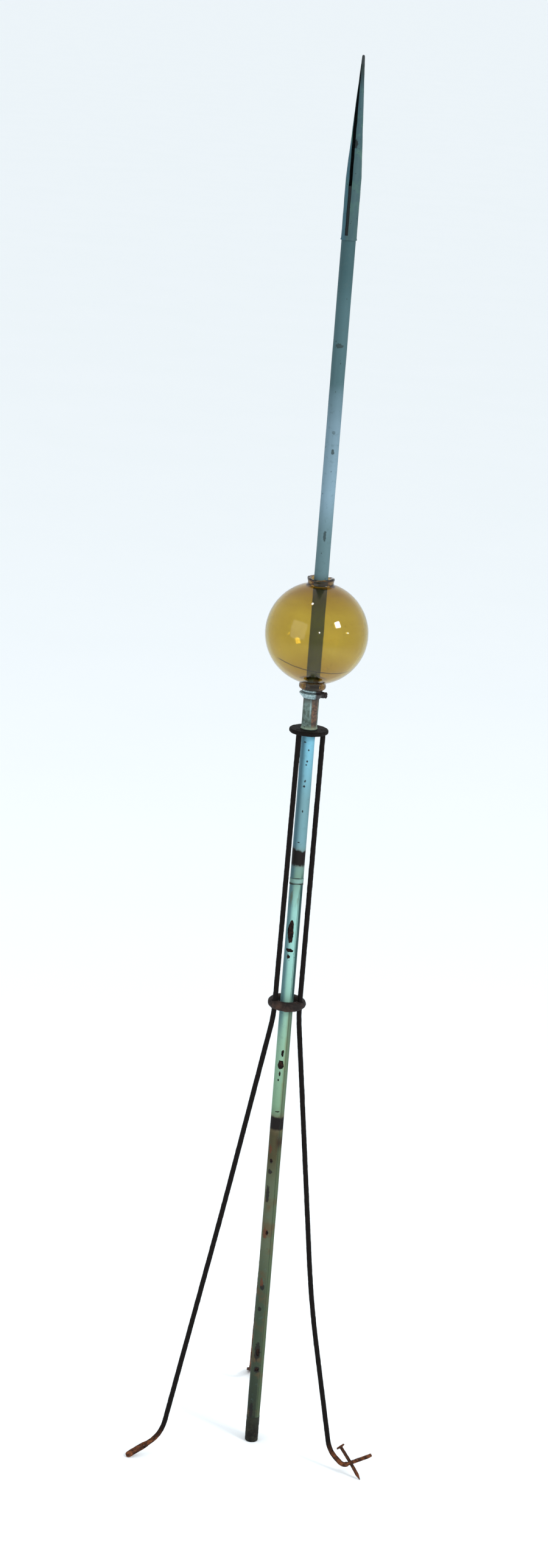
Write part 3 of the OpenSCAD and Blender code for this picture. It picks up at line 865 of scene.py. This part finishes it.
class ROD_OT_collar(Maker):
    """Make the flanged stop collar and its screw"""

    bl_idname = "rod.collar"
    bl_label = "Stop Collar and Screw"

    def make(self, scene):
        low, high = COLLAR_LOW.z, COLLAR_HIGH.z
        bore = UPPER_R + SLIP
        rim = COLLAR_HIGH.y
        tall = high - low
        outline = [(bore, low), (9.5 * MM, low), (9.8 * MM, low + 0.5 * MM),
                   *run((10 * MM, low + 0.9 * MM), (rim - 0.4 * MM, low + 0.47 * tall), 4),
                   (rim, low + 0.53 * tall), (rim - 0.1 * MM, low + 0.6 * tall),
                   (rim - 0.9 * MM, low + 0.65 * tall), (11.2 * MM, low + 0.68 * tall),
                   (10.6 * MM, low + 0.73 * tall), (10.9 * MM, low + 0.79 * tall),
                   (11.6 * MM, low + 0.85 * tall), (11.6 * MM, low + 0.93 * tall),
                   (11 * MM, high), (bore, high), (bore, low)]
        collar = turned("zinc_collar", outline, steps=72)
        reshape(collar, lambda co: wobble(co, 0.25 * MM, 7 * MM, 8, 9 * MM))
        axis, middle, reach = self.screw_place()
        boss = self.stud("boss", 3.6 * MM, 8.4 * MM, rim + 0.5 * MM, 0.5 * MM)
        self.aim(boss, axis, middle)
        hole = self.stud("hole", SCREW_R + SLIP, 4 * MM, 30 * MM, 0)
        self.aim(hole, axis, middle)
        cut(collar, boss, "UNION")
        cut(collar, hole)
        settle(collar, "collar", "galvanised_collar", galvanised_collar(), "stop_collar",
               angle=40)

        start, step, head = UPPER_R + 0.3 * MM, 0.35 * MM, SCREW_HEAD_R
        face = reach - 3.2 * MM
        threads = [(SCREW_R - (0.25 * MM if i % 2 else 0), start + i * step)
                   for i in range(int((face - start) / step))]
        outline = [(0, start), *threads, (SCREW_R, face), (head - 0.6 * MM, face),
                   (head, face + 0.7 * MM), (head, face + 1.9 * MM),
                   (head - 0.5 * MM, reach - 0.7 * MM), (head - 1.5 * MM, reach - 0.1 * MM),
                   (0, reach)]
        screw = turned("rounded_screw", outline, steps=48)
        clear_selection()
        bpy.ops.mesh.primitive_cube_add(size=1, location=(0, 0, reach),
                                        scale=(1 * MM, 12 * MM, 2.4 * MM))
        cut(screw, bpy.context.object)
        self.aim(screw, axis, middle)
        settle(screw, "thumb_screw", "black_screw", black_screw(), "thumb_screw")

    def screw_place(self):
        """The screw's direction, its height and its reach, from its joint and box."""
        joint = next(j for j in frame["record"]["behaviour"]["joints"]
                     if j["name"] == "thumb_screw_turn")
        axis = Vector(joint["axis"]).normalized()
        reach = (SCREW_HIGH.x - SCREW_HEAD_R * abs(axis.y)) / axis.x
        return axis, (SCREW_LOW.z + SCREW_HIGH.z) / 2, reach

    def stud(self, name, r, start, end, round_off):
        return turned(name, [(0, start), (r, start), (r, end - round_off),
                             (r - round_off, end), (0, end)], steps=40)

    def aim(self, piece, axis, height):
        """Turns a piece made round Z so that it points along axis."""
        turn = axis.to_track_quat("Z", "X").to_matrix().to_4x4()
        lift = Matrix.Translation((0, 0, height))
        reshape(piece, lambda co: lift @ turn @ co)


class ROD_OT_sleeve(Maker):
    """Make the mottled spacer sleeve"""

    bl_idname = "rod.sleeve"
    bl_label = "Spacer Sleeve"

    def make(self, scene):
        low, high = SLEEVE_LOW.z, SLEEVE_HIGH.z
        outer, wall = 8.8 * MM, 0.6 * MM
        foot = SLEEVE_HIGH.x
        bore = outer - wall
        outline = [(bore, low), (foot - 0.2 * MM, low), (foot, low + 0.4 * MM),
                   (foot - 0.2 * MM, low + 1 * MM), (outer + 0.15 * MM, low + 1.8 * MM),
                   *run((outer, low + 2.8 * MM), (outer, high), 18), (outer, high),
                   (bore, high), (bore, low)]
        sleeve = turned("mottled_sheet_sleeve", outline, steps=72)
        reshape(sleeve, lambda co: wobble(co, 0.2 * MM, 9 * MM, 1, outer - 0.3 * MM))
        settle(sleeve, "sleeve", "mottled_sleeve", mottled_sleeve(), "spacer_sleeve")


class ROD_OT_lower_tube(Maker):
    """Make the rusted lower tube with its lock seam and torn holes"""

    bl_idname = "rod.lower_tube"
    bl_label = "Lower Tube"

    # Each torn hole's angle off the front in degrees, then its height on the rod, its
    # width and its length in mm; no two of them meet
    HOLES = ((-15, 634, 7.6, 25), (-20, 612.5, 8.4, 5), (-22, 605, 3.6, 5), (0, 489, 3, 9),
             (-8, 475, 6.6, 11), (-12, 464, 2.4, 5), (-20, 456, 2, 3), (-6, 417.5, 5.5, 1.6),
             (-26, 357, 2.6, 4), (-12, 267, 2.6, 5), (-6, 116, 3.4, 10), (-4, 94, 4.6, 5))

    def make(self, scene):
        low, high = TUBE_LOW.z, TUBE_HIGH.z
        outline = [(CORE_R, low), *run((TUBE_R, low), (TUBE_R, high), 170), (TUBE_R, high),
                   *run((CORE_R, high), (CORE_R, low), 24), (CORE_R, low)]
        tube = turned("pale_sheet_tube", outline, steps=104)
        rise = scene.rod_metal.seam_rise

        def folded(co):
            if co.xy.length < TUBE_R - 0.2 * MM:
                return co
            co = wobble(co, 0.12 * MM, 24 * MM, 3)
            turn = (math.atan2(co.y, co.x) - FRONT) % (2 * math.pi)
            # The fold's visible edge wanders, and its other edge is straight
            start, end = 31 - 10 * (co.z - 0.3) ** 2, 76
            if co.z < BAND_LOW.z and math.radians(start) < turn < math.radians(end):
                co.xy *= (TUBE_R + rise) / TUBE_R
            return co

        reshape(tube, folded)
        tools = [self.torn(i, *hole) for i, hole in enumerate(self.HOLES)]
        pick(*tools)
        bpy.ops.object.join()
        cut(tube, bpy.context.object)
        settle(tube, "rod", "pale_tube", pale_tube(), "lower_tube", angle=28)

    def torn(self, i, angle, z, wide, tall):
        """A ragged plug that stands straight across the wall, where a hole is to be."""
        clear_selection()
        bpy.ops.mesh.primitive_cylinder_add(vertices=44, radius=1, depth=1)
        tool = bpy.context.object
        place = (Matrix.Translation((0, 0, z * MM))
                 @ Matrix.Rotation(FRONT + math.radians(angle), 4, "Z"))
        inner, outer = CORE_R - 2 * MM, TUBE_R + 2 * MM

        def ragged(co):
            swell = 1 + 0.35 * noise.noise(Vector((co.x, co.y, i * 3.1)) * 1.4)
            side, rise = co.x * swell * wide * MM / 2, co.y * swell * tall * MM / 2
            tear = noise.noise_vector(Vector((side, rise, i * 5 * MM)) / (1.3 * MM))
            return place @ Vector((inner if co.z < 0 else outer, side + tear.x * 0.45 * MM,
                                   rise + tear.y * 0.45 * MM))

        reshape(tool, ragged)
        pick(tool)
        tidy_mesh()
        return tool


class ROD_OT_band(Maker):
    """Make the solder band where two lengths of tube meet"""

    bl_idname = "rod.band"
    bl_label = "Splice Band"

    def make(self, scene):
        low, high = BAND_LOW.z, BAND_HIGH.z
        inner, outer = TUBE_R - 0.02 * MM, TUBE_R + 0.25 * MM
        outline = [(inner, low), (outer - 0.05 * MM, low), (outer + 0.15 * MM, low + 0.7 * MM),
                   (outer, low + 1.3 * MM),
                   *run((outer, low + 2 * MM), (outer, high - 2 * MM), 3),
                   (outer, high - 1.3 * MM), (outer + 0.15 * MM, high - 0.7 * MM),
                   (outer - 0.05 * MM, high), (inner, high), (inner, low)]
        band = turned("solder_ring", outline, steps=96)

        def sagged(co):
            co.z -= BAND_SAG * math.cos(2 * math.atan2(co.y, co.x))
            return wobble(co, 0.12 * MM, 4 * MM, 6)

        reshape(band, sagged)
        settle(band, "rod", "solder_band", solder_band(), "splice_band")


class ROD_OT_ferrule(Maker):
    """Make the rusted lower end of the rod"""

    bl_idname = "rod.ferrule"
    bl_label = "End Ferrule"

    def make(self, scene):
        outer, high = FERRULE_HIGH.x, FERRULE_HIGH.z
        floor = CORE_LOW.z
        outline = [(0, 0), *run((0.5 * MM, 0), (outer - 1.6 * MM, 0), 4),
                   *arc(outer - 1.6 * MM, 1.6 * MM, 1.6 * MM, -90, 0, 6),
                   *run((outer, 2.4 * MM), (outer, high), 16), (outer, high),
                   (CORE_R, high), (CORE_R, floor), (0, floor)]
        ferrule = turned("rusted_end", outline, steps=72)
        reshape(ferrule, lambda co: wobble(co, 0.3 * MM, 4 * MM, 9, outer - 0.6 * MM))
        settle(ferrule, "rod", "rusty_ferrule", rusty_ferrule(), "end_ferrule", angle=50)


class ROD_OT_stand(Maker):
    """Make the forged and cast iron of the stand from its CAD shapes"""

    bl_idname = "rod.stand"
    bl_label = "Iron Stand"

    def make(self, scene):
        grain = scene.rod_iron.grain
        leg = leg_iron()
        for side in ("left", "right", "back"):
            bar = copied(f"forged_leg_{side}", f"leg_{side}", f"foot_{side}")
            rework(bar, grain, 0.45 * MM, 5 * MM, 3)
            settle(bar, "stand", "black_iron", leg, f"leg_{side}", f"foot_{side}", angle=60)
        plate = copied("cast_plate", "top_plate")
        rework(plate, grain * 0.8, 0.5 * MM, 6 * MM)
        settle(plate, "stand", "black_iron", black_iron(), "top_plate", angle=60)
        ring = copied("cast_ring", "mid_ring")
        rework(ring, grain * 0.8, 0.9 * MM, 7 * MM)
        settle(ring, "stand", "ring_iron", ring_iron(), "mid_ring", angle=60)


class ROD_OT_nail(Maker):
    """Make the bent nail in the right foot"""

    bl_idname = "rod.nail"
    bl_label = "Foot Nail"

    def make(self, scene):
        nail = copied("bent_nail", "foot_nail")
        rework(nail, 0.35 * MM, 0.4 * MM, 3 * MM, 3)
        low, high = NAIL_LOW.z, NAIL_HIGH.z
        outward = Vector((math.cos(NAIL_TURN), math.sin(NAIL_TURN), 0))

        def bent(co):
            t = (co.z - low) / (high - low)
            bow = math.sin(math.pi * t) * 1.1 * MM
            return co + outward * bow

        reshape(nail, bent)
        settle(nail, "stand", "rusty_nail", rusty_nail(), "foot_nail", angle=60)


class ROD_OT_stage(Maker):
    """Set up the pale floor, the soft light and the camera"""

    bl_idname = "rod.stage"
    bl_label = "Stage"

    def make(self, scene):
        stage = scene.rod_stage
        self.floor(stage)
        self.light("key_light", (1.9, -1.7, 2.3), 0.6, stage.key_power)
        self.light("fill_light", (-2.2, -2.0, 1.6), 2.0, stage.fill_power)
        self.light("window_glint", (2.35, -0.9, 1.35), 0.14, stage.glint_power)
        self.light("ceiling_glint", (-0.5, -0.3, 3.3), 0.14, stage.glint_power)
        self.light("front_glint", (0.1, -3.2, 1.75), 0.1, stage.glint_power)
        self.sky(scene, stage)
        self.camera(scene)
        scene.view_settings.view_transform = "Standard"

    def floor(self, stage):
        clear_selection()
        bpy.ops.mesh.primitive_plane_add(size=400, location=(0, 0, -0.05 * MM))
        floor = bpy.context.object
        floor.name = "pale_floor"
        f = Finish("pale_cloth")
        weave = f.noise(300, detail=3)
        soft = f.noise(2.2, detail=3)
        f.shade = f.mix(soft * 0.25, stage.floor, linear(232, 240, 240))
        floor.data.materials.append(f.done(Roughness=0.92,
                                           Normal=f.bump(weave, 0.15, 0.5 * MM)))

    def light(self, name, place, size, power):
        bpy.ops.object.light_add(type="AREA", location=place)
        lamp = bpy.context.object
        lamp.name = name
        lamp.data.size = size
        lamp.data.energy = power
        aim = Vector((0, 0, 0.75)) - Vector(place)
        lamp.rotation_euler = aim.to_track_quat("-Z", "Y").to_euler()

    def sky(self, scene, stage):
        world = scene.world or bpy.data.worlds.new("sky")
        scene.world = world
        world.use_nodes = True
        backdrop = world.node_tree.nodes["Background"]
        backdrop.inputs["Color"].default_value = (*stage.sky, 1)
        backdrop.inputs["Strength"].default_value = 1.0

    def camera(self, scene):
        """Eye height, looking a little down, and rolled so that the rod leans right."""
        turn, pitch, roll = (math.radians(a) for a in (-4, 15, 4.5))
        away, height, aside = 3.463, 1.732, 0.034
        back = Vector((math.sin(turn), -math.cos(turn), 0))
        right = Vector((math.cos(turn), math.sin(turn), 0))
        forward = -back * math.cos(pitch) - Vector((0, 0, math.sin(pitch)))
        up = right.cross(forward)
        leaned_right = right * math.cos(roll) + up * math.sin(roll)
        leaned_up = up * math.cos(roll) - right * math.sin(roll)
        bpy.ops.object.camera_add(location=back * away - right * aside + Vector((0, 0, height)))
        camera = bpy.context.object
        camera.name = "front_camera"
        axes = Matrix((leaned_right, leaned_up, -forward)).transposed()
        camera.rotation_euler = axes.to_euler()
        camera.data.sensor_width = 36
        camera.data.lens = 73.48
        camera.data.clip_end = 500
        scene.camera = camera


MAKERS = (ROD_OT_point, ROD_OT_upper_tube, ROD_OT_core, ROD_OT_ball, ROD_OT_collar,
          ROD_OT_sleeve, ROD_OT_lower_tube, ROD_OT_band, ROD_OT_ferrule, ROD_OT_stand,
          ROD_OT_nail, ROD_OT_stage)


class ROD_PT_panel(bpy.types.Panel):
    """Lists the settings and makers of the lightning rod"""

    bl_idname = "ROD_PT_panel"
    bl_label = "Lightning Rod"
    bl_space_type = "VIEW_3D"
    bl_region_type = "UI"
    bl_category = "Lightning Rod"

    def draw(self, context):
        for name, group in SETTINGS.items():
            box = self.layout.box()
            for key in group.__annotations__:
                box.prop(getattr(context.scene, name), key)
        for maker in MAKERS:
            self.layout.operator(maker.bl_idname)


CLASSES = (*SETTINGS.values(), *MAKERS, ROD_PT_panel)


def register():
    for cls in CLASSES:
        bpy.utils.register_class(cls)
    for name, group in SETTINGS.items():
        setattr(bpy.types.Scene, name, bpy.props.PointerProperty(type=group))


def unregister():
    for name in SETTINGS:
        delattr(bpy.types.Scene, name)
    for cls in reversed(CLASSES):
        bpy.utils.unregister_class(cls)


def main():
    register()
    for maker in MAKERS:
        category, action = maker.bl_idname.split(".")
        getattr(getattr(bpy.ops, category), action)()


if __name__ == "__main__":
    main()
